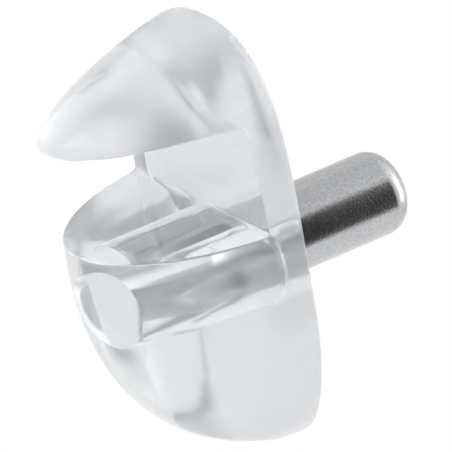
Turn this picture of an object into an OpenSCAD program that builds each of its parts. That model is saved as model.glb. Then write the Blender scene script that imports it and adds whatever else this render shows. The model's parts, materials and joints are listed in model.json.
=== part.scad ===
// Glass shelf support: a clear moulded body with a steel pin pressed into its back.
// Millimetres. +Z is up, +Y runs along the pin into the cabinet wall, and +X is across the shelf.
// The origin is on the pin's centre line, where it leaves the flat back of the body.
// The shelf slides in from the front (-Y) and rests on the slot floor under the hood.

/* [Shelf slot] */
// Thickest shelf that the slot takes
shelf_thickness = 6.0; // [5:0.5:6]
// Room between the shelf and the hood above it
shelf_clearance = 0.6; // [0.2:0.1:1]
// Plastic between the top of the pin and the slot floor
floor_cover = 1.3; // [1:0.1:2.5]
// Thickness of the web that joins the hood to the bowl behind the slot
web_thickness = 2.2; // [1.8:0.1:3]
// Radius of the two inside corners where the web meets the slot
slot_corner = 0.3; // [0.1:0.1:0.8]

/* [Clear body] */
// Full width at its widest level
body_width = 14.2; // [12:0.1:16]
// Distance from the pin's centre line down to the widest level
widest_drop = 1.4; // [0:0.1:3]
// Height of the hood above the slot
hood_height = 4.5; // [3.5:0.1:5.5]
// Depth from the flat back to the front of the slot floor
floor_depth = 10.9; // [10:0.1:13]
// How far the nose of the hood reaches beyond the slot floor
nose_reach = 0.8; // [0:0.1:1.5]
// Distance from the pin's centre line down to the lowest point of the bowl
bowl_drop = 11.0; // [9:0.1:13]
// Height of the upright band at the front of the bowl, under the slot floor
bowl_band = 1.7; // [1:0.1:3]
// Depth of the straight strip along the back rim, before the side begins to curve
back_strip = 0.7; // [0.4:0.1:1]
// Small bevel around the flat back
back_bevel = 0.2; // [0.1:0.05:0.3]

/* [Steel pin] */
// Diameter of the pin, for a 5 mm shelf hole
pin_diameter = 5.0; // [4.8:0.1:6]
// Length of the pin that stands out of the back, with its rounded end
pin_reach = 10.3; // [7:0.1:12]
// Length of the pin that is held inside the body
pin_grip = 8.4; // [6:0.1:9]
// How much thinner the held part of the pin is than the part that stands out
grip_step = 0.4; // [0.4:0.1:0.8]
// Radius of the rounding at the free end of the pin
pin_round = 1.35; // [0.5:0.05:1.5]
// Radius of the rounding at the held end of the pin
grip_round = 0.6; // [0.2:0.1:1]
// Gap drawn between the pin and its bore, so that the two solids don't overlap
bore_clearance = 0.01; // [0.01:0.01:0.05]

/* [Hidden] */
pin_radius = pin_diameter / 2;
grip_radius = (pin_diameter - grip_step) / 2;
bore_radius = grip_radius + bore_clearance;
slot_floor = pin_radius + floor_cover;
slot_roof = slot_floor + shelf_thickness + shelf_clearance;
widest = -widest_drop;
crown = slot_roof + hood_height;
half_width = body_width / 2;
nose_depth = floor_depth + nose_reach;
band_foot = slot_floor - bowl_band;

// Each pair shapes one fall-off: how late it starts to turn in, and how round it ends.
crown_side = [4.45, 2.58];
bowl_side = [1.89, 3.14];
hood_slope = [1.77, 1.31];
bowl_front = [1.99, 2.28];
// Each pair shapes the plan view, at the front and at the sides: 2 is an ellipse, and more is squarer.
bowl_plan = [1.97, 1.95];
hood_plan = [2.2, 1.2];

levels_up = 20;
levels_down = 26;
side_steps = 26;
level_ease = 2.4;
tip = 0.0005;
over = 1;

// Share of the full size left at t, where t is 0 at the full section and 1 at the end point.
function fall(t, shape) = pow(max(1 - pow(min(max(t, 0), 1), shape[0]), 0), 1 / shape[1]);
function ease(t) = let (c = min(max(t, 0), 1)) c * c * (3 - 2 * c);
function mix(a, b, t) = a + (b - a) * t;

// Half width and depth of the body at height z.
function half_at(z) = half_width * (z > widest
    ? fall((z - widest) / (crown - widest), crown_side)
    : fall((widest - z) / (widest + bowl_drop), bowl_side));
function bowl_depth(z) = floor_depth * fall((band_foot - z) / (band_foot + bowl_drop), bowl_front);
function hood_depth(z) = nose_depth * fall((z - slot_roof) / (crown - slot_roof), hood_slope);
function in_hood(z) = ease((z - slot_floor) / (slot_roof - slot_floor));
function depth_at(z) = z < slot_floor ? bowl_depth(z)
    : z > slot_roof ? hood_depth(z)
    : mix(floor_depth, nose_depth, in_hood(z));
function plan_at(z) = mix(bowl_plan, hood_plan, in_hood(z));

// Heights of the rings: close together at both ends, and one on each face of the slot.
function heights() = concat(
    [for (i = [0 : levels_down])
        slot_floor - (slot_floor + bowl_drop - tip) * (1 - pow(i / levels_down, level_ease))],
    [for (i = [1 : 4]) mix(slot_floor, slot_roof, i / 4)],
    [for (i = [1 : levels_up])
        slot_roof + (hood_height - tip) * (1 - pow(1 - i / levels_up, level_ease))]);

// One ring: the curved front from side to side, then the straight strip and the bevelled back.
function ring(z) = let (
    b = half_at(z),
    d = depth_at(z),
    s = min(back_strip, d * 0.4),
    v = min(back_bevel, s * 0.5, b * 0.4),
    p = plan_at(z))
    concat(
        [for (i = [0 : side_steps])
            let (a = 180 * i / side_steps, c = cos(a))
            [sign(c) * b * pow(abs(c), 2 / p[0]), -s - (d - s) * pow(abs(sin(a)), 2 / p[1]), z]],
        [[-b, -v, z], [-b + v, 0, z], [b - v, 0, z], [b, -v, z]]);

// Skin a stack of equal rings into one closed solid.
module skin(stack) {
    n = len(stack[0]);
    last = len(stack) - 1;
    points = [for (r = stack) each r];
    sides = [for (k = [0 : last - 1], i = [0 : n - 1])
        let (j = (i + 1) % n, a = k * n, b = a + n)
        each [[a + i, b + i, b + j], [a + i, b + j, a + j]]];
    foot = [for (i = [0 : n - 1]) i];
    head = [for (i = [n - 1 : -1 : 0]) last * n + i];
    polyhedron(points = points, faces = concat(sides, [foot, head]), convexity = 4);
}

module envelope() {
    skin([for (z = heights()) ring(z)]);
}

// The space that the shelf slides into, with rounded inside corners and an open front.
module slot() {
    high = slot_roof - slot_floor;
    span = body_width + 2 * over;
    far = nose_depth + over;
    translate([-span / 2, -far, slot_floor])
        cube([span, far - web_thickness - slot_corner, high]);
    translate([-span / 2, -far, slot_floor + slot_corner])
        cube([span, far - web_thickness, high - 2 * slot_corner]);
    for (z = [slot_floor + slot_corner, slot_roof - slot_corner])
        translate([-span / 2, -web_thickness - slot_corner, z])
            rotate([0, 90, 0])
                cylinder(h = span, r = slot_corner, $fn = 32);
}

// The blind hole in the back that holds the pin, with a countersunk mouth for the pin's shoulder.
module bore() {
    rise = over + grip_step / 2;
    translate([0, over, 0])
        rotate([90, 0, 0]) {
            cylinder(h = over + pin_grip + bore_clearance, r = bore_radius, $fn = 96);
            cylinder(h = rise, r1 = bore_radius + rise, r2 = bore_radius, $fn = 96);
        }
}

module body() {
    color([0.86, 0.90, 0.92, 0.35])
        difference() {
            envelope();
            slot();
            bore();
        }
}

// Half section of the pin, from the held end up to the free end.
module pin_section() {
    free_edge = pin_radius - pin_round;
    held_edge = grip_radius - grip_round;
    intersection() {
        translate([0, -pin_grip])
            square([pin_radius, pin_grip + pin_reach]);
        union() {
            polygon([
                [0, -pin_grip], [held_edge, -pin_grip], [grip_radius, grip_round - pin_grip],
                [grip_radius, grip_radius - pin_radius], [pin_radius, 0],
                [pin_radius, pin_reach - pin_round], [free_edge, pin_reach], [0, pin_reach]]);
            translate([held_edge, grip_round - pin_grip])
                circle(r = grip_round, $fn = 48);
            translate([free_edge, pin_reach - pin_round])
                circle(r = pin_round, $fn = 64);
        }
    }
}

module pin() {
    color([0.72, 0.73, 0.74])
        rotate([-90, 0, 0])
            rotate_extrude($fn = 96)
                pin_section();
}

body();
pin();
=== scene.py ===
"""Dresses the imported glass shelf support: a clear moulded body with a steel pin in its back.

Lengths are metres and the frame is the CAD model's own. +Z is up, +Y runs along the pin into the
cabinet side, +X is across the shelf, and the origin is on the pin's line in the flat back.
"""

import json
import logging
import math
from dataclasses import dataclass, field
from enum import Enum

import bmesh
import bpy
import numpy as np
from mathutils import Matrix, Vector

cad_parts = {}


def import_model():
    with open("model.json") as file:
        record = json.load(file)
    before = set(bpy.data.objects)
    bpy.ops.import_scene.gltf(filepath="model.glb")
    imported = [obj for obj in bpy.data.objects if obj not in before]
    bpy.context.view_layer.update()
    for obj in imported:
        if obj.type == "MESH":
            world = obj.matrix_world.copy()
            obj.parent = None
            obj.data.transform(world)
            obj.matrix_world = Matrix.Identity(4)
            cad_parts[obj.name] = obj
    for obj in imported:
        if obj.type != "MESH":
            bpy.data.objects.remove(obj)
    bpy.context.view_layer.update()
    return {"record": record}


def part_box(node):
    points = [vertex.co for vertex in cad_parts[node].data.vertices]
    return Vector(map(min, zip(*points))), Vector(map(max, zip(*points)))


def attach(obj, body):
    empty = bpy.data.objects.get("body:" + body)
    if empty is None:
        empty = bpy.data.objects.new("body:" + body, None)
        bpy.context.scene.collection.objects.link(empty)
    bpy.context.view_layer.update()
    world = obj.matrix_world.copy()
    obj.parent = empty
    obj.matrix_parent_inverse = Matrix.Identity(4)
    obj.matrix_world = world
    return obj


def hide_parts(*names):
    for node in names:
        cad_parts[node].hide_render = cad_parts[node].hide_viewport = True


LOG = logging.getLogger("shelf_support")
MM = 0.001
QUARTER_TURN = math.pi / 2
WHITE = "ffffff"
# Points closer together than this become one point.
MERGE = 1e-7
# Keeps a division finite where a ring shrinks to a point.
TINY = 1e-9
# The body's point attribute that says how much its skin has been rubbed.
RUB = "rub"
# How much thinner, in radius, the held part of the pin is, and how loosely the bore takes it.
GRIP_STEP = 0.2 * MM
BORE_GAP = 0.01 * MM

# Points (n, 3), and faces (m, 4) that number them.
Surface = tuple[np.ndarray, np.ndarray]


def linear(hex_colour: str) -> tuple[float, float, float, float]:
    """Turn an sRGB hex colour into the linear values that shaders use.

    Args:
        hex_colour: six hexadecimal digits, such as "8a8c8e".

    Returns:
        Red, green, blue and a full alpha.
    """
    levels = [int(hex_colour[i:i + 2], 16) / 255 for i in (0, 2, 4)]
    r, g, b = (c / 12.92 if c <= 0.04045 else ((c + 0.055) / 1.055) ** 2.4 for c in levels)
    return (r, g, b, 1.0)


def add_node(tree: bpy.types.NodeTree, kind: str, settings: dict | None = None,
             **inputs: object) -> bpy.types.Node:
    """Add one node with its settings, its socket values and its links.

    Args:
        tree: the node tree that the node joins.
        kind: the node's class name without its "ShaderNode" prefix.
        settings: attributes of the node itself, such as an operation.
        inputs: a value or an output socket for each input, under the input's name with
            underscores for spaces, or i0, i1 and so on for an input by its place.

    Returns:
        The new node.
    """
    node = tree.nodes.new("ShaderNode" + kind)
    for name, value in (settings or {}).items():
        setattr(node, name, value)
    for name, value in inputs.items():
        by_place = name[0] == "i" and name[1:].isdigit()
        socket = node.inputs[int(name[1:]) if by_place else name.replace("_", " ")]
        if isinstance(value, bpy.types.NodeSocket):
            tree.links.new(value, socket)
        else:
            socket.default_value = value
    return node


def blank_material(name: str) -> tuple[bpy.types.Material, bpy.types.NodeTree]:
    """Make a material that has no nodes yet.

    Args:
        name: the real material and how its surface was made.

    Returns:
        The material and its empty node tree.
    """
    material = bpy.data.materials.new(name)
    material.use_nodes = True
    material.node_tree.nodes.clear()
    return material, material.node_tree


def smooth_step(t: np.ndarray) -> np.ndarray:
    """Ease from 0 to 1 as t goes from 0 to 1, flat at both ends: three t squared less two t cubed."""
    c = np.clip(t, 0, 1)
    return c * c * (3 - 2 * c)


def grid_faces(rows: int, columns: int, wrap: bool = False) -> np.ndarray:
    """Quads over a grid of points that is stored row by row.

    A quad runs from a point to the next row, then along that row, and back.

    Args:
        rows: how many rows of points there are.
        columns: how many points a row has.
        wrap: whether the last point of a row joins its first.

    Returns:
        Four point numbers for each quad.
    """
    across = np.arange(columns if wrap else columns - 1)
    start = np.arange(rows - 1)[:, None] * columns
    low = (start + across[None, :]).ravel()
    next_low = (start + (across[None, :] + 1) % columns).ravel()
    return np.stack([low, low + columns, next_low + columns, next_low], 1)


def mesh_piece(name: str, surfaces: list[Surface], sharp_over: float) -> bpy.types.Object:
    """Join surfaces into one closed, smooth-shaded mesh with its place in its points.

    Args:
        name: the piece's name.
        surfaces: the surfaces, whose points merge where they fall on each other.
        sharp_over: the angle in degrees past which an edge stays crisp.

    Returns:
        The object, at the origin, linked to the scene.
    """
    points = np.concatenate([p for p, _ in surfaces])
    starts = np.cumsum([0] + [len(p) for p, _ in surfaces[:-1]])
    faces = np.concatenate([f + s for (_, f), s in zip(surfaces, starts)])
    mesh = bpy.data.meshes.new(name)
    mesh.from_pydata(points, [], faces)
    work = bmesh.new()
    work.from_mesh(mesh)
    bmesh.ops.remove_doubles(work, verts=work.verts, dist=MERGE)
    work.to_mesh(mesh)
    work.free()
    mesh.polygons.foreach_set("use_smooth", np.ones(len(mesh.polygons), bool))
    mesh.set_sharp_from_angle(angle=math.radians(sharp_over))
    piece = bpy.data.objects.new(name, mesh)
    bpy.context.scene.collection.objects.link(piece)
    LOG.info("%s: %d faces", name, len(mesh.polygons))
    return piece


def facing(bearing: float, height: float) -> tuple[Vector, Vector, Vector]:
    """Work out the directions of something that stands round the part and faces it.

    Outward, x is the sine of the bearing and y is minus its cosine, both times the cosine of the
    height, and z is the sine of the height. Upward is outward crossed with sideways.

    Args:
        bearing: where it stands, in degrees: 0 in front of the slot, and 90 on the +X side.
        height: how far above the horizon it stands, in degrees.

    Returns:
        Its sideways, upward and outward directions.
    """
    a, e = math.radians(bearing), math.radians(height)
    out = Vector((math.sin(a) * math.cos(e), -math.cos(a) * math.cos(e), math.sin(e)))
    side = Vector((math.cos(a), math.sin(a), 0))
    return side, out.cross(side), out


class Plan(Enum):
    """Roundness of the plan view, at the front and at the sides: 2 is an ellipse."""

    BOWL = (1.97, 1.95)
    HOOD = (2.2, 1.2)


@dataclass(frozen=True)
class Fall:
    """A fall-off from full size to a point: how late it turns in, and how blunt it ends."""

    late: float
    blunt: float

    def at(self, t: np.ndarray) -> np.ndarray:
        """Share of the full size left at t: one less t to the power late, then the root blunt."""
        return np.maximum(1 - np.clip(t, 0, 1) ** self.late, 0) ** (1 / self.blunt)


@dataclass(frozen=True)
class ClearAcrylic:
    """Clear injection-moulded acrylic (PMMA): water clear with a faint cool cast.

    The moulded skin has the long, shallow flow waves of the melt, and its outside is clouded by fine
    scuffs from loose packing, which turn part of the light aside. The slot, the back and the bore
    keep the mould's polish. Single scuffs are too fine to show, so only their clouds are drawn.
    """

    tint: str = "f6f8fa"
    ior: float = 1.49
    clearness: float = 0.84
    polish: float = 0.03
    scuff: float = 0.23
    cloud_mm: float = 2.4
    cloud_edges: tuple[float, float] = (0.35, 0.65)
    least_cloud: float = 0.55
    wave_mm: float = 2.2
    wave_height_mm: float = 0.02

    def make(self) -> bpy.types.Material:
        """Build the material. Waves tilt the skin, and its roughness is the clouds times the rub.

        Returns:
            The material.
        """
        material, tree = blank_material("clear_moulded_acrylic")
        place = add_node(tree, "TexCoord").outputs["Object"]
        waves = add_node(tree, "TexNoise", Vector=place, Scale=1 / (self.wave_mm * MM))
        bump = add_node(tree, "Bump", Height=waves.outputs[0], Strength=1.0,
                        Distance=self.wave_height_mm * MM)
        clouds = add_node(tree, "TexNoise", Vector=place, Scale=1 / (self.cloud_mm * MM))
        worn = add_node(tree, "MapRange", {"interpolation_type": "SMOOTHSTEP"},
                        Value=clouds.outputs[0], From_Min=self.cloud_edges[0],
                        From_Max=self.cloud_edges[1], To_Min=self.least_cloud, To_Max=1.0)
        rub = add_node(tree, "Attribute", {"attribute_name": RUB})
        share = add_node(tree, "Math", {"operation": "MULTIPLY"}, i0=worn.outputs[0],
                         i1=rub.outputs["Fac"])
        haze = add_node(tree, "MapRange", Value=share.outputs[0], To_Min=self.polish,
                        To_Max=self.scuff)
        skin = add_node(tree, "BsdfPrincipled", Base_Color=linear(self.tint), IOR=self.ior,
                        Transmission_Weight=self.clearness, Roughness=haze.outputs[0],
                        Normal=bump.outputs[0])
        add_node(tree, "OutputMaterial", Surface=skin.outputs[0])
        return material


@dataclass(frozen=True)
class TumbledSteel:
    """Steel rod cut to length, tumbled and thinly zinc plated: a bright satin with an even grain.

    The real grain is finer than 0.15 mm. It is drawn that coarse so that it shows.
    """

    colour: str = "bcbdbf"
    roughness: float = 0.2
    sheen_range: float = 0.15
    patch_mm: float = 1.6
    grain_mm: float = 0.15
    grain_height_mm: float = 0.008
    grain_crispness: float = 0.6
    grain_edges: tuple[float, float] = (0.3, 0.7)
    speckle: float = 0.16

    def make(self) -> bpy.types.Material:
        """Build the material. The grain tilts and speckles the metal, and patches vary its sheen.

        Returns:
            The material.
        """
        material, tree = blank_material("tumbled_zinc_plated_steel")
        place = add_node(tree, "TexCoord").outputs["Object"]
        grain = add_node(tree, "TexNoise", Vector=place, Scale=1 / (self.grain_mm * MM),
                         Roughness=self.grain_crispness)
        patches = add_node(tree, "TexNoise", Vector=place, Scale=1 / (self.patch_mm * MM))
        bump = add_node(tree, "Bump", Height=grain.outputs[0], Strength=1.0,
                        Distance=self.grain_height_mm * MM)
        tone = add_node(tree, "MapRange", Value=grain.outputs[0], From_Min=self.grain_edges[0],
                        From_Max=self.grain_edges[1], To_Min=1 - self.speckle,
                        To_Max=1 + self.speckle)
        colour = add_node(tree, "VectorMath", {"operation": "SCALE"}, i0=linear(self.colour)[:3],
                          Scale=tone.outputs[0])
        sheen = add_node(tree, "MapRange", Value=patches.outputs[0],
                         To_Min=self.roughness * (1 - self.sheen_range),
                         To_Max=self.roughness * (1 + self.sheen_range))
        skin = add_node(tree, "BsdfPrincipled", Base_Color=colour.outputs[0], Metallic=1.0,
                        Roughness=sheen.outputs[0], Normal=bump.outputs[0])
        add_node(tree, "OutputMaterial", Surface=skin.outputs[0])
        return material


@dataclass
class ClearBody:
    """The moulded body: a bowl under the slot, a web behind it and a beaked hood above it.

    The skin is a stack of level rings. The fields without a value come from the frame, the lengths
    and shapes after them are the CAD model's, and the counts say how finely the skin is drawn.
    """

    half_width: float
    crown: float
    foot: float
    nose_depth: float
    slot_floor: float
    slot_roof: float
    bore_radius: float
    mouth_radius: float
    bore_end: float

    nose_reach: float = 0.8 * MM
    web: float = 2.2 * MM
    slot_corner: float = 0.3 * MM
    widest: float = -1.4 * MM
    bowl_band: float = 1.7 * MM
    back_strip: float = 0.7 * MM
    back_bevel: float = 0.2 * MM
    crown_side: Fall = Fall(4.45, 2.58)
    bowl_side: Fall = Fall(1.89, 3.14)
    hood_slope: Fall = Fall(1.77, 1.31)
    bowl_front: Fall = Fall(1.99, 2.28)

    # Rounding of the slot's rims, and how far from the web it fades in.
    rim_round: float = 0.12 * MM
    rim_fade: float = 0.8 * MM
    # Near the foot and the crown, where a ring is small, its strip, its bevel and the place where
    # its side meets the web keep to these shares of the ring.
    strip_of_depth: float = 0.4
    bevel_of_strip: float = 0.5
    bevel_of_half: float = 0.4
    web_of_depth: float = 0.45

    bowl_levels: int = 120
    hood_levels: int = 90
    level_ease: float = 2.4
    corner_rings: int = 6
    web_step: float = 0.2 * MM
    flat_rings: int = 8
    round_rings: int = 6
    side_points: int = 14
    front_points: int = 84
    bevel_points: int = 5
    back_rows: int = 7
    bore_rows: int = 9
    bore_end_shares: tuple[float, ...] = (0.66, 0.33, 0.0)

    sharp_over: float = 35
    # How rubbed the bowl is, where the hood is 1, and how near to a polished face a point is on it.
    bowl_rub: float = 0.65
    on_face: float = 0.01 * MM
    finish: ClearAcrylic = field(default_factory=ClearAcrylic)

    def half_at(self, z: np.ndarray) -> np.ndarray:
        """Half width at a height: full at the widest level, and a fall-off to the crown and foot.

        Args:
            z: heights.

        Returns:
            The half width at each height.
        """
        up = self.crown_side.at((z - self.widest) / (self.crown - self.widest))
        down = self.bowl_side.at((self.widest - z) / (self.widest - self.foot))
        return self.half_width * np.where(z > self.widest, up, down)

    def depth_at(self, z: np.ndarray) -> np.ndarray:
        """Depth from the flat back to the front at a height, as if the slot weren't cut.

        The bowl keeps the slot floor's depth down its upright band and falls off below it. The hood
        falls off from the nose to the crown. Between them the depth eases from one to the other.

        Args:
            z: heights.

        Returns:
            The depth at each height.
        """
        floor_depth = self.nose_depth - self.nose_reach
        band_foot = self.slot_floor - self.bowl_band
        bowl = floor_depth * self.bowl_front.at((band_foot - z) / (band_foot - self.foot))
        up_hood = (z - self.slot_roof) / (self.crown - self.slot_roof)
        hood = self.nose_depth * self.hood_slope.at(up_hood)
        middle = floor_depth + self.nose_reach * self.share_of_hood(z)
        return np.where(z < self.slot_floor, bowl, np.where(z > self.slot_roof, hood, middle))

    def share_of_hood(self, z: np.ndarray) -> np.ndarray:
        """How far height z is through the slot, eased from 0 at its floor to 1 at its roof."""
        return smooth_step((z - self.slot_floor) / (self.slot_roof - self.slot_floor))

    def web_heights(self) -> np.ndarray:
        """List the rings on the web: evenly by angle in its two corners, and by height between.

        Returns:
            Their heights, from the slot floor up to its roof.
        """
        turn = np.linspace(0, QUARTER_TURN, self.corner_rings + 1)
        corner = self.slot_corner * (1 - np.cos(turn))[1:]
        low, high = self.slot_floor + self.slot_corner, self.slot_roof - self.slot_corner
        between = np.linspace(low, high, int(round((high - low) / self.web_step)))[1:-1]
        return np.concatenate([self.slot_floor + corner, between, self.slot_roof - corner[::-1]])

    def levels(self) -> tuple[np.ndarray, np.ndarray, np.ndarray]:
        """List the rings from foot to crown.

        They crowd towards the foot and the crown: a ring's share of the way from the end is its
        number's share to the power level_ease. At the rims the height follows the sine of the turn.

        Returns:
            The height of each ring; how far its front is drawn in towards the web, from 0 to 1; and
            the angle that its rim has rounded over, from 0 on the side to a quarter turn on the flat.
        """
        bowl_top, hood_foot = self.slot_floor - self.rim_round, self.slot_roof + self.rim_round
        from_foot = np.linspace(0, 1, self.bowl_levels) ** self.level_ease
        from_crown = (1 - np.linspace(0, 1, self.hood_levels)) ** self.level_ease
        bowl = bowl_top - (bowl_top - self.foot) * (1 - from_foot)
        hood = hood_foot + (self.crown - hood_foot) * (1 - from_crown)
        turn = np.linspace(0, QUARTER_TURN, self.round_rings + 1)[1:]
        drawn = np.linspace(0, 1, self.flat_rings + 1)[1:]
        stages = [
            (bowl, 0.0, 0.0),
            (bowl_top + self.rim_round * np.sin(turn), 0.0, turn),
            (self.slot_floor, drawn, QUARTER_TURN),
            (self.web_heights(), 1.0, 0.0),
            (self.slot_roof, 1 - (drawn - drawn[0]), QUARTER_TURN),
            (hood_foot - self.rim_round * np.sin(turn[::-1]), 0.0, turn[::-1]),
            (hood, 0.0, 0.0),
        ]
        columns = zip(*(np.broadcast_arrays(*stage) for stage in stages))
        z, draw, rounded = (np.concatenate(column) for column in columns)
        return z, draw, rounded

    def web_front(self, z: np.ndarray) -> np.ndarray:
        """Depth of the web's front face at a height: the web, plus the quarter-round corners.

        Args:
            z: heights within the slot.

        Returns:
            The depth of the face at each height.
        """
        reach = np.minimum(z - self.slot_floor, self.slot_roof - z)
        h = np.clip(reach, 0, self.slot_corner)
        rise = np.sqrt(np.maximum(self.slot_corner ** 2 - (self.slot_corner - h) ** 2, 0))
        return self.web + self.slot_corner - rise

    def ahead(self) -> np.ndarray:
        """How far each front point is on its way from the web's face to the middle of the front."""
        return np.linspace(0, 1, self.front_points + 1)[None, 1:]

    def half_rings(self, z: np.ndarray, half: np.ndarray, strip: np.ndarray,
                   split: np.ndarray) -> tuple[np.ndarray, np.ndarray]:
        """Work out one side of each ring as a superellipse in front of the straight strip.

        x is the half width times a power of the cosine, and y is the strip plus the rest of the
        depth times a power of the sine. The side points end where the web's face meets the skin.

        Args:
            z: the rings' heights.
            half: their half widths.
            strip: the depths of their strips.
            split: the depths at which their sides meet the web's face.

        Returns:
            Half widths and depths of the points, as (rings, points) each.
        """
        share = self.share_of_hood(z)[:, None]
        front_power, side_power = (2 / (bowl + (hood - bowl) * share)
                                   for bowl, hood in zip(Plan.BOWL.value, Plan.HOOD.value))
        rest = self.depth_at(z) - strip
        part = np.maximum(split - strip, 0) / np.maximum(rest, TINY)
        split_angle = np.arcsin(np.clip(part[:, None], 0, 1) ** (1 / side_power))
        side = split_angle * np.linspace(0, 1, self.side_points)[None, :]
        front = split_angle + (QUARTER_TURN - split_angle) * self.ahead()
        angle = np.concatenate([side, front], 1)
        x = half[:, None] * np.maximum(np.cos(angle), 0) ** front_power
        y = strip[:, None] + rest[:, None] * np.sin(angle) ** side_power
        x[:, -1] = 0
        return x, y

    def round_rims(self, x: np.ndarray, y: np.ndarray,
                   rounded: np.ndarray) -> tuple[np.ndarray, np.ndarray]:
        """Round the rims of bowl and hood: each ring moves in along its own normal.

        The move is the rim's radius times one less the cosine of the angle it has turned. It fades
        out where the rim runs into the web.

        Args:
            x: half widths of the rings' points.
            y: depths of the rings' points.
            rounded: the angle that each ring has turned.

        Returns:
            The moved half widths and depths.
        """
        along_x, along_y = np.gradient(x, axis=1), np.gradient(y, axis=1)
        size = np.maximum(np.hypot(along_x, along_y), TINY)
        away = y - y[:, self.side_points - 1:self.side_points]
        shift = self.rim_round * (1 - np.cos(rounded))[:, None] * smooth_step(away / self.rim_fade)
        new_x = x - shift * along_y / size
        new_x[:, -1] = 0
        return new_x, y + shift * along_x / size

    def draw_in(self, x: np.ndarray, y: np.ndarray, split: np.ndarray, draw: np.ndarray) -> None:
        """Draw the front points of the rings in to the web's flat face.

        On the face they are spread evenly from the last side point to the middle. Each point moves
        its ring's share of the straight way there.

        Args:
            x: half widths of the rings' points, which are changed in place.
            y: depths of the rings' points, which are changed in place.
            split: the depth of the face at each ring.
            draw: how far each ring is drawn in, from 0 to 1.
        """
        count = self.side_points
        face_x = x[:, count - 1:count] * (1 - self.ahead())
        x[:, count:] += (face_x - x[:, count:]) * draw[:, None]
        y[:, count:] += (split[:, None] - y[:, count:]) * draw[:, None]

    def skin(self) -> np.ndarray:
        """Carry one ring of points from foot to crown, round the bowl, the web and the hood.

        Each ring starts on the flat back, turns the small round at the back rim by sine and cosine,
        follows the straight strip and the superellipse to the middle of the front, and is mirrored.

        Returns:
            The points of the rings, as (rings, points, 3).
        """
        z, draw, rounded = self.levels()
        half, depth = self.half_at(z), self.depth_at(z)
        strip = np.minimum(self.back_strip, depth * self.strip_of_depth)
        bevel = np.minimum(np.minimum(self.back_bevel, strip * self.bevel_of_strip),
                           half * self.bevel_of_half)
        web_y = self.web_front(np.clip(z, self.slot_floor, self.slot_roof))
        split = np.minimum(web_y, depth * self.web_of_depth)
        x, y = self.half_rings(z, half, strip, split)
        x, y = self.round_rims(x, y, rounded)
        self.draw_in(x, y, split, draw)
        turn = np.linspace(0, QUARTER_TURN, self.bevel_points)[None, :]
        back_x = (half - bevel)[:, None] + bevel[:, None] * np.sin(turn)
        back_y = bevel[:, None] * (1 - np.cos(turn))
        x, y = np.concatenate([back_x, x], 1), np.concatenate([back_y, y], 1)
        x = np.concatenate([x, -x[:, -2::-1]], 1)
        y = np.concatenate([y, y[:, -2::-1]], 1)
        return np.stack([x, -y, np.repeat(z[:, None], x.shape[1], 1)], 2)

    def back_and_bore(self, rings: np.ndarray) -> Surface:
        """Close the flat back with a band of quads round the bore, then line the bore itself.

        Each point of the back's outline has its own angle about the pin's line. The quads run
        straight from it to the bore's mouth, down the countersink and the wall, and to the middle
        of the flat end.

        Args:
            rings: the skin's points.

        Returns:
            Points and faces of the back with its bore.
        """
        z = rings[:, 0, 2]
        rises = np.concatenate([[True], np.diff(z) > 0])
        right, left = rings[rises, 0], rings[rises, -1]
        outline = np.concatenate([right, left[::-1][1:-1]])
        angle = np.arctan2(outline[:, 2], outline[:, 0])
        circle = np.stack([np.cos(angle), np.zeros_like(angle), np.sin(angle)], 1)
        axis = np.array([0, 1.0, 0])
        mouth = self.mouth_radius * circle
        wall = np.linspace(self.mouth_radius - self.bore_radius, self.bore_end, self.bore_rows)
        rows = [outline + (mouth - outline) * t for t in np.linspace(0, 1, self.back_rows)]
        rows += [self.bore_radius * circle - axis * y for y in wall]
        rows += [self.bore_radius * t * circle - axis * self.bore_end for t in self.bore_end_shares]
        return np.concatenate(rows), grid_faces(len(rows), len(outline), wrap=True)

    def mark_rub(self, mesh: bpy.types.Mesh) -> None:
        """Store how much each point has been rubbed: most on the hood, and less on the bowl.

        It is nothing in the slot, on the flat back and in the bore. Elsewhere it eases from the
        bowl's share at the pin's line to 1 at the slot's roof.

        Args:
            mesh: the body's finished mesh.
        """
        points = np.empty(len(mesh.vertices) * 3, np.float32)
        mesh.vertices.foreach_get("co", points)
        x, y, z = points.reshape(-1, 3).T
        near = self.on_face
        in_slot = (z > self.slot_floor - near) & (z < self.slot_roof + near) & (y < near - self.web)
        in_bore = np.hypot(x, z) < self.mouth_radius + near
        polished = in_slot | in_bore | (y > -near)
        outside = self.bowl_rub + (1 - self.bowl_rub) * smooth_step(z / self.slot_roof)
        rub = np.where(polished, 0.0, outside).astype(np.float32)
        mesh.attributes.new(RUB, "FLOAT", "POINT").data.foreach_set("value", rub)

    def build(self) -> bpy.types.Object:
        """Make the body's mesh and give it its finish.

        Returns:
            The piece.
        """
        rings = self.skin()
        skin = rings.reshape(-1, 3), grid_faces(*rings.shape[:2])
        piece = mesh_piece("clear_body", [skin, self.back_and_bore(rings)], self.sharp_over)
        self.mark_rub(piece.data)
        piece.data.materials.append(self.finish.make())
        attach(piece, "root")
        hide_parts("body")
        return piece


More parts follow.
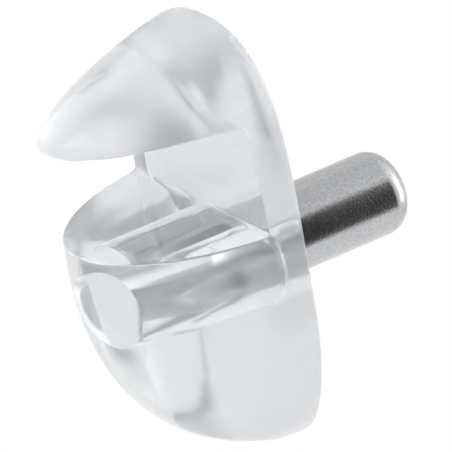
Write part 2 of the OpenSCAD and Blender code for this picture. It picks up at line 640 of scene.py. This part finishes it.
@dataclass
class SteelPin:
    """The pin: a plain steel rod with a rounded free end and a slightly thinner held part."""

    radius: float
    grip_radius: float
    reach: float
    grip: float
    end_round: float = 1.35 * MM
    grip_round: float = 0.6 * MM
    round_points: int = 14
    segments: int = 256
    sharp_over: float = 30
    finish: TumbledSteel = field(default_factory=TumbledSteel)

    def profile(self) -> np.ndarray:
        """Half section of straight lines, with a quarter round at both ends by sine and cosine.

        Returns:
            Its points as (radius, y), from the middle of the held end to that of the free end.
        """
        turn = np.linspace(0, QUARTER_TURN, self.round_points)
        held = np.stack([self.grip_radius - self.grip_round * (1 - np.sin(turn)),
                         -self.grip + self.grip_round * (1 - np.cos(turn))], 1)
        free = np.stack([self.radius - self.end_round * (1 - np.cos(turn)),
                         self.reach - self.end_round * (1 - np.sin(turn))], 1)
        shoulder = [[self.grip_radius, self.grip_radius - self.radius], [self.radius, 0.0]]
        return np.concatenate([[[0, -self.grip]], held, shoulder, free, [[0, self.reach]]])

    def build(self) -> bpy.types.Object:
        """Turn the half section about the Y axis and give the pin its finish.

        Returns:
            The piece.
        """
        section = self.profile()
        angle = np.linspace(0, 2 * math.pi, self.segments, endpoint=False)
        points = np.stack([section[:, :1] * np.cos(angle), np.repeat(section[:, 1:], len(angle), 1),
                           section[:, :1] * np.sin(angle)], 2).reshape(-1, 3)
        faces = grid_faces(len(section), len(angle), wrap=True)
        piece = mesh_piece("steel_pin", [(points, faces)], self.sharp_over)
        piece.data.materials.append(self.finish.make())
        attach(piece, "root")
        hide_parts("pin")
        return piece


@dataclass(frozen=True)
class Card:
    """A large soft card or window of the studio, far off: darker or lighter than the room.

    It stands at a bearing and a height, and its half sizes and its soft edge are angles in degrees.
    Its level is what it multiplies the room's light by, and side_fade is the sine of the angle over
    which it fades in on its own side of the room.
    """

    bearing: float
    height: float
    half_width: float
    half_height: float
    soft: float
    level: float
    side_fade: float = 0.2

    def mask(self, tree: bpy.types.NodeTree, way: bpy.types.NodeSocket) -> bpy.types.NodeSocket:
        """Work out how much of the card lies in each direction: 1 on it, 0 off it, soft between.

        The direction's sideways and upward parts are compared with the sines of the card's half
        sizes, and a third factor keeps the card on its own side of the room.

        Args:
            tree: the world's node tree.
            way: the direction that is looked in.

        Returns:
            The mask's output socket.
        """
        side, rise, out = facing(self.bearing, self.height)
        part = add_node(tree, "VectorMath", {"operation": "DOT_PRODUCT"}, i0=way, i1=out)
        mask = add_node(tree, "MapRange", {"interpolation_type": "SMOOTHSTEP"},
                        Value=part.outputs["Value"], From_Min=0.0, From_Max=self.side_fade)
        for axis, half in ((side, self.half_width), (rise, self.half_height)):
            part = add_node(tree, "VectorMath", {"operation": "DOT_PRODUCT"}, i0=way, i1=axis)
            size = add_node(tree, "Math", {"operation": "ABSOLUTE"}, i0=part.outputs["Value"])
            edge = add_node(tree, "MapRange", {"interpolation_type": "SMOOTHSTEP"},
                            Value=size.outputs[0], To_Min=1.0, To_Max=0.0,
                            From_Min=math.sin(math.radians(max(half - self.soft, 0))),
                            From_Max=math.sin(math.radians(min(half + self.soft, 90))))
            mask = add_node(tree, "Math", {"operation": "MULTIPLY"}, i0=mask.outputs[0],
                            i1=edge.outputs[0])
        return mask.outputs[0]


@dataclass(frozen=True)
class Lamp:
    """A square soft lamp that faces the part: its place in degrees and metres, and its watts."""

    bearing: float
    height: float
    away: float
    size: float
    power: float

    def hang(self, name: str) -> None:
        """Hang the lamp in the scene.

        Args:
            name: the lamp's name.
        """
        out = facing(self.bearing, self.height)[2]
        data = bpy.data.lights.new(name, "AREA")
        data.shape, data.size, data.energy = "SQUARE", self.size, self.power
        lamp = bpy.data.objects.new(name, data)
        lamp.location = out * self.away
        lamp.rotation_euler = out.to_track_quat("Z", "Y").to_euler()
        bpy.context.scene.collection.objects.link(lamp)


@dataclass
class Studio:
    """A white room with soft cards and a lamp round the part, a pale floor, and the camera.

    The part hangs well above the floor, as it does on its wall. A later card lies over an earlier
    one. The dark card is what the steel's dark stripe mirrors.
    """

    azimuth: float = 60.44
    elevation: float = 24.72
    roll: float = 9.78
    distance: float = 0.9
    frame_width: float = 25.85 * MM
    aim_right: float = -1.055 * MM
    aim_up: float = 1.307 * MM
    sensor: float = 36.0
    clip: tuple[float, float] = (0.01, 10.0)
    floor_drop: float = 120 * MM
    floor_half: float = 160 * MM
    floor_paper: str = "e9e9e9"
    floor_glow: float = 0.25
    room: str = WHITE
    cards: tuple[Card, ...] = (
        Card(0, 84, 36, 36, 14, 0.64),  # grey ceiling
        Card(255, -5, 60, 44, 12, 0.84),  # pale grey wall on the far side of the part
        Card(172, 12, 24, 36, 12, 1.25),  # pale wall behind the pin's free end
        Card(164, 2, 14, 24, 6, 2.2),  # small window in that wall
        Card(0, -20, 50, 24, 12, 0.85),  # pale grey ground in front of the slot
        Card(15, 28, 27, 30, 13, 1.5),  # window above that ground
        Card(114, 5, 15, 35, 6, 0.01),  # dark card beside the pin
    )
    key: Lamp = Lamp(bearing=350, height=50, away=0.3, size=0.12, power=0.15)
    clear_bounces: int = 32
    other_bounces: int = 16

    def camera(self) -> None:
        """Set a long lens at the right angle, turned by the roll and aimed at the part."""
        level, rise, back = facing(self.azimuth, self.elevation)
        turn = math.radians(self.roll)
        right = level * math.cos(turn) - rise * math.sin(turn)
        up = level * math.sin(turn) + rise * math.cos(turn)
        data = bpy.data.cameras.new("camera")
        data.sensor_width = self.sensor
        data.lens = self.sensor * self.distance / self.frame_width
        data.clip_start, data.clip_end = self.clip
        camera = bpy.data.objects.new("camera", data)
        place = Matrix((right, up, back)).transposed().to_4x4()
        place.translation = right * self.aim_right + up * self.aim_up + back * self.distance
        camera.matrix_world = place
        bpy.context.scene.collection.objects.link(camera)
        bpy.context.scene.camera = camera

    def world(self) -> None:
        """Light the room evenly, lay the cards over it, and show the camera plain white."""
        world = bpy.data.worlds.new("studio")
        bpy.context.scene.world = world
        world.use_nodes = True
        tree = world.node_tree
        tree.nodes.clear()
        place = add_node(tree, "TexCoord").outputs["Generated"]
        way = add_node(tree, "VectorMath", {"operation": "NORMALIZE"}, i0=place).outputs[0]
        level = add_node(tree, "Value").outputs[0]
        level.default_value = 1.0
        for card in self.cards:
            level = add_node(tree, "Mix", {"data_type": "FLOAT"}, i0=card.mask(tree, way), i2=level,
                             i3=card.level).outputs[0]
        ray = add_node(tree, "LightPath")
        room = add_node(tree, "Background", Color=linear(self.room), Strength=level)
        white = add_node(tree, "Background", Color=linear(WHITE), Strength=1.0)
        both = add_node(tree, "MixShader", i0=ray.outputs["Is Camera Ray"], i1=room.outputs[0],
                        i2=white.outputs[0])
        add_node(tree, "OutputWorld", Surface=both.outputs[0])

    def floor(self) -> None:
        """Lay a plain pale paper floor well below the part.

        The camera, metal and plastic see the paper with a glow on it, as white as the room behind it.
        The light that it throws on the part is the plain paper's.
        """
        corners = np.array([[-1, -1], [1, -1], [1, 1], [-1, 1]]) * self.floor_half
        points = np.concatenate([corners, np.full((4, 1), -self.floor_drop)], 1)
        mesh = bpy.data.meshes.new("floor")
        mesh.from_pydata(points, [], np.array([[0, 1, 2, 3]]))
        floor = bpy.data.objects.new("floor", mesh)
        material, tree = blank_material("matt_white_floor_paper")
        ray = add_node(tree, "LightPath").outputs
        seen = ray["Is Camera Ray"]
        for kind in ("Is Glossy Ray", "Is Transmission Ray"):
            seen = add_node(tree, "Math", {"operation": "MAXIMUM"}, i0=seen, i1=ray[kind]).outputs[0]
        paper = add_node(tree, "BsdfDiffuse", Color=linear(self.floor_paper))
        glow = add_node(tree, "Emission", Color=linear(WHITE), Strength=self.floor_glow)
        lit = add_node(tree, "AddShader", i0=paper.outputs[0], i1=glow.outputs[0])
        both = add_node(tree, "MixShader", i0=seen, i1=paper.outputs[0], i2=lit.outputs[0])
        add_node(tree, "OutputMaterial", Surface=both.outputs[0])
        mesh.materials.append(material)
        bpy.context.scene.collection.objects.link(floor)

    def build(self) -> None:
        """Set up the camera, the room, the floor, the lamp and how far light is followed."""
        self.camera()
        self.world()
        self.floor()
        self.key.hang("key_lamp")
        scene = bpy.context.scene
        scene.cycles.max_bounces = scene.cycles.transmission_bounces = self.clear_bounces
        scene.cycles.glossy_bounces = scene.cycles.diffuse_bounces = self.other_bounces
        scene.view_settings.view_transform = "Standard"


def main() -> None:
    """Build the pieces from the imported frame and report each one."""
    logging.basicConfig(level=logging.INFO)
    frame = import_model()
    mounts = {mount["name"]: mount for mount in frame["record"]["mounts"]}
    low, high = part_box("body")
    pin_low, pin_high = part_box("pin")
    radius = mounts["pin"]["dims"]["r_mm"] * MM
    body = ClearBody(
        half_width=high.x, crown=high.z, foot=low.z, nose_depth=-low.y,
        slot_floor=mounts["shelf_rest"]["pos_m"][2], slot_roof=mounts["hood_face"]["pos_m"][2],
        bore_radius=radius - GRIP_STEP + BORE_GAP, mouth_radius=radius + BORE_GAP,
        bore_end=BORE_GAP - pin_low.y)
    pin = SteelPin(radius=radius, grip_radius=radius - GRIP_STEP, reach=pin_high.y,
                   grip=-pin_low.y)
    for part in (body, pin):
        piece = part.build()
        LOG.info("built %s", piece.name)
    Studio().build()


if __name__ == "__main__":
    main()
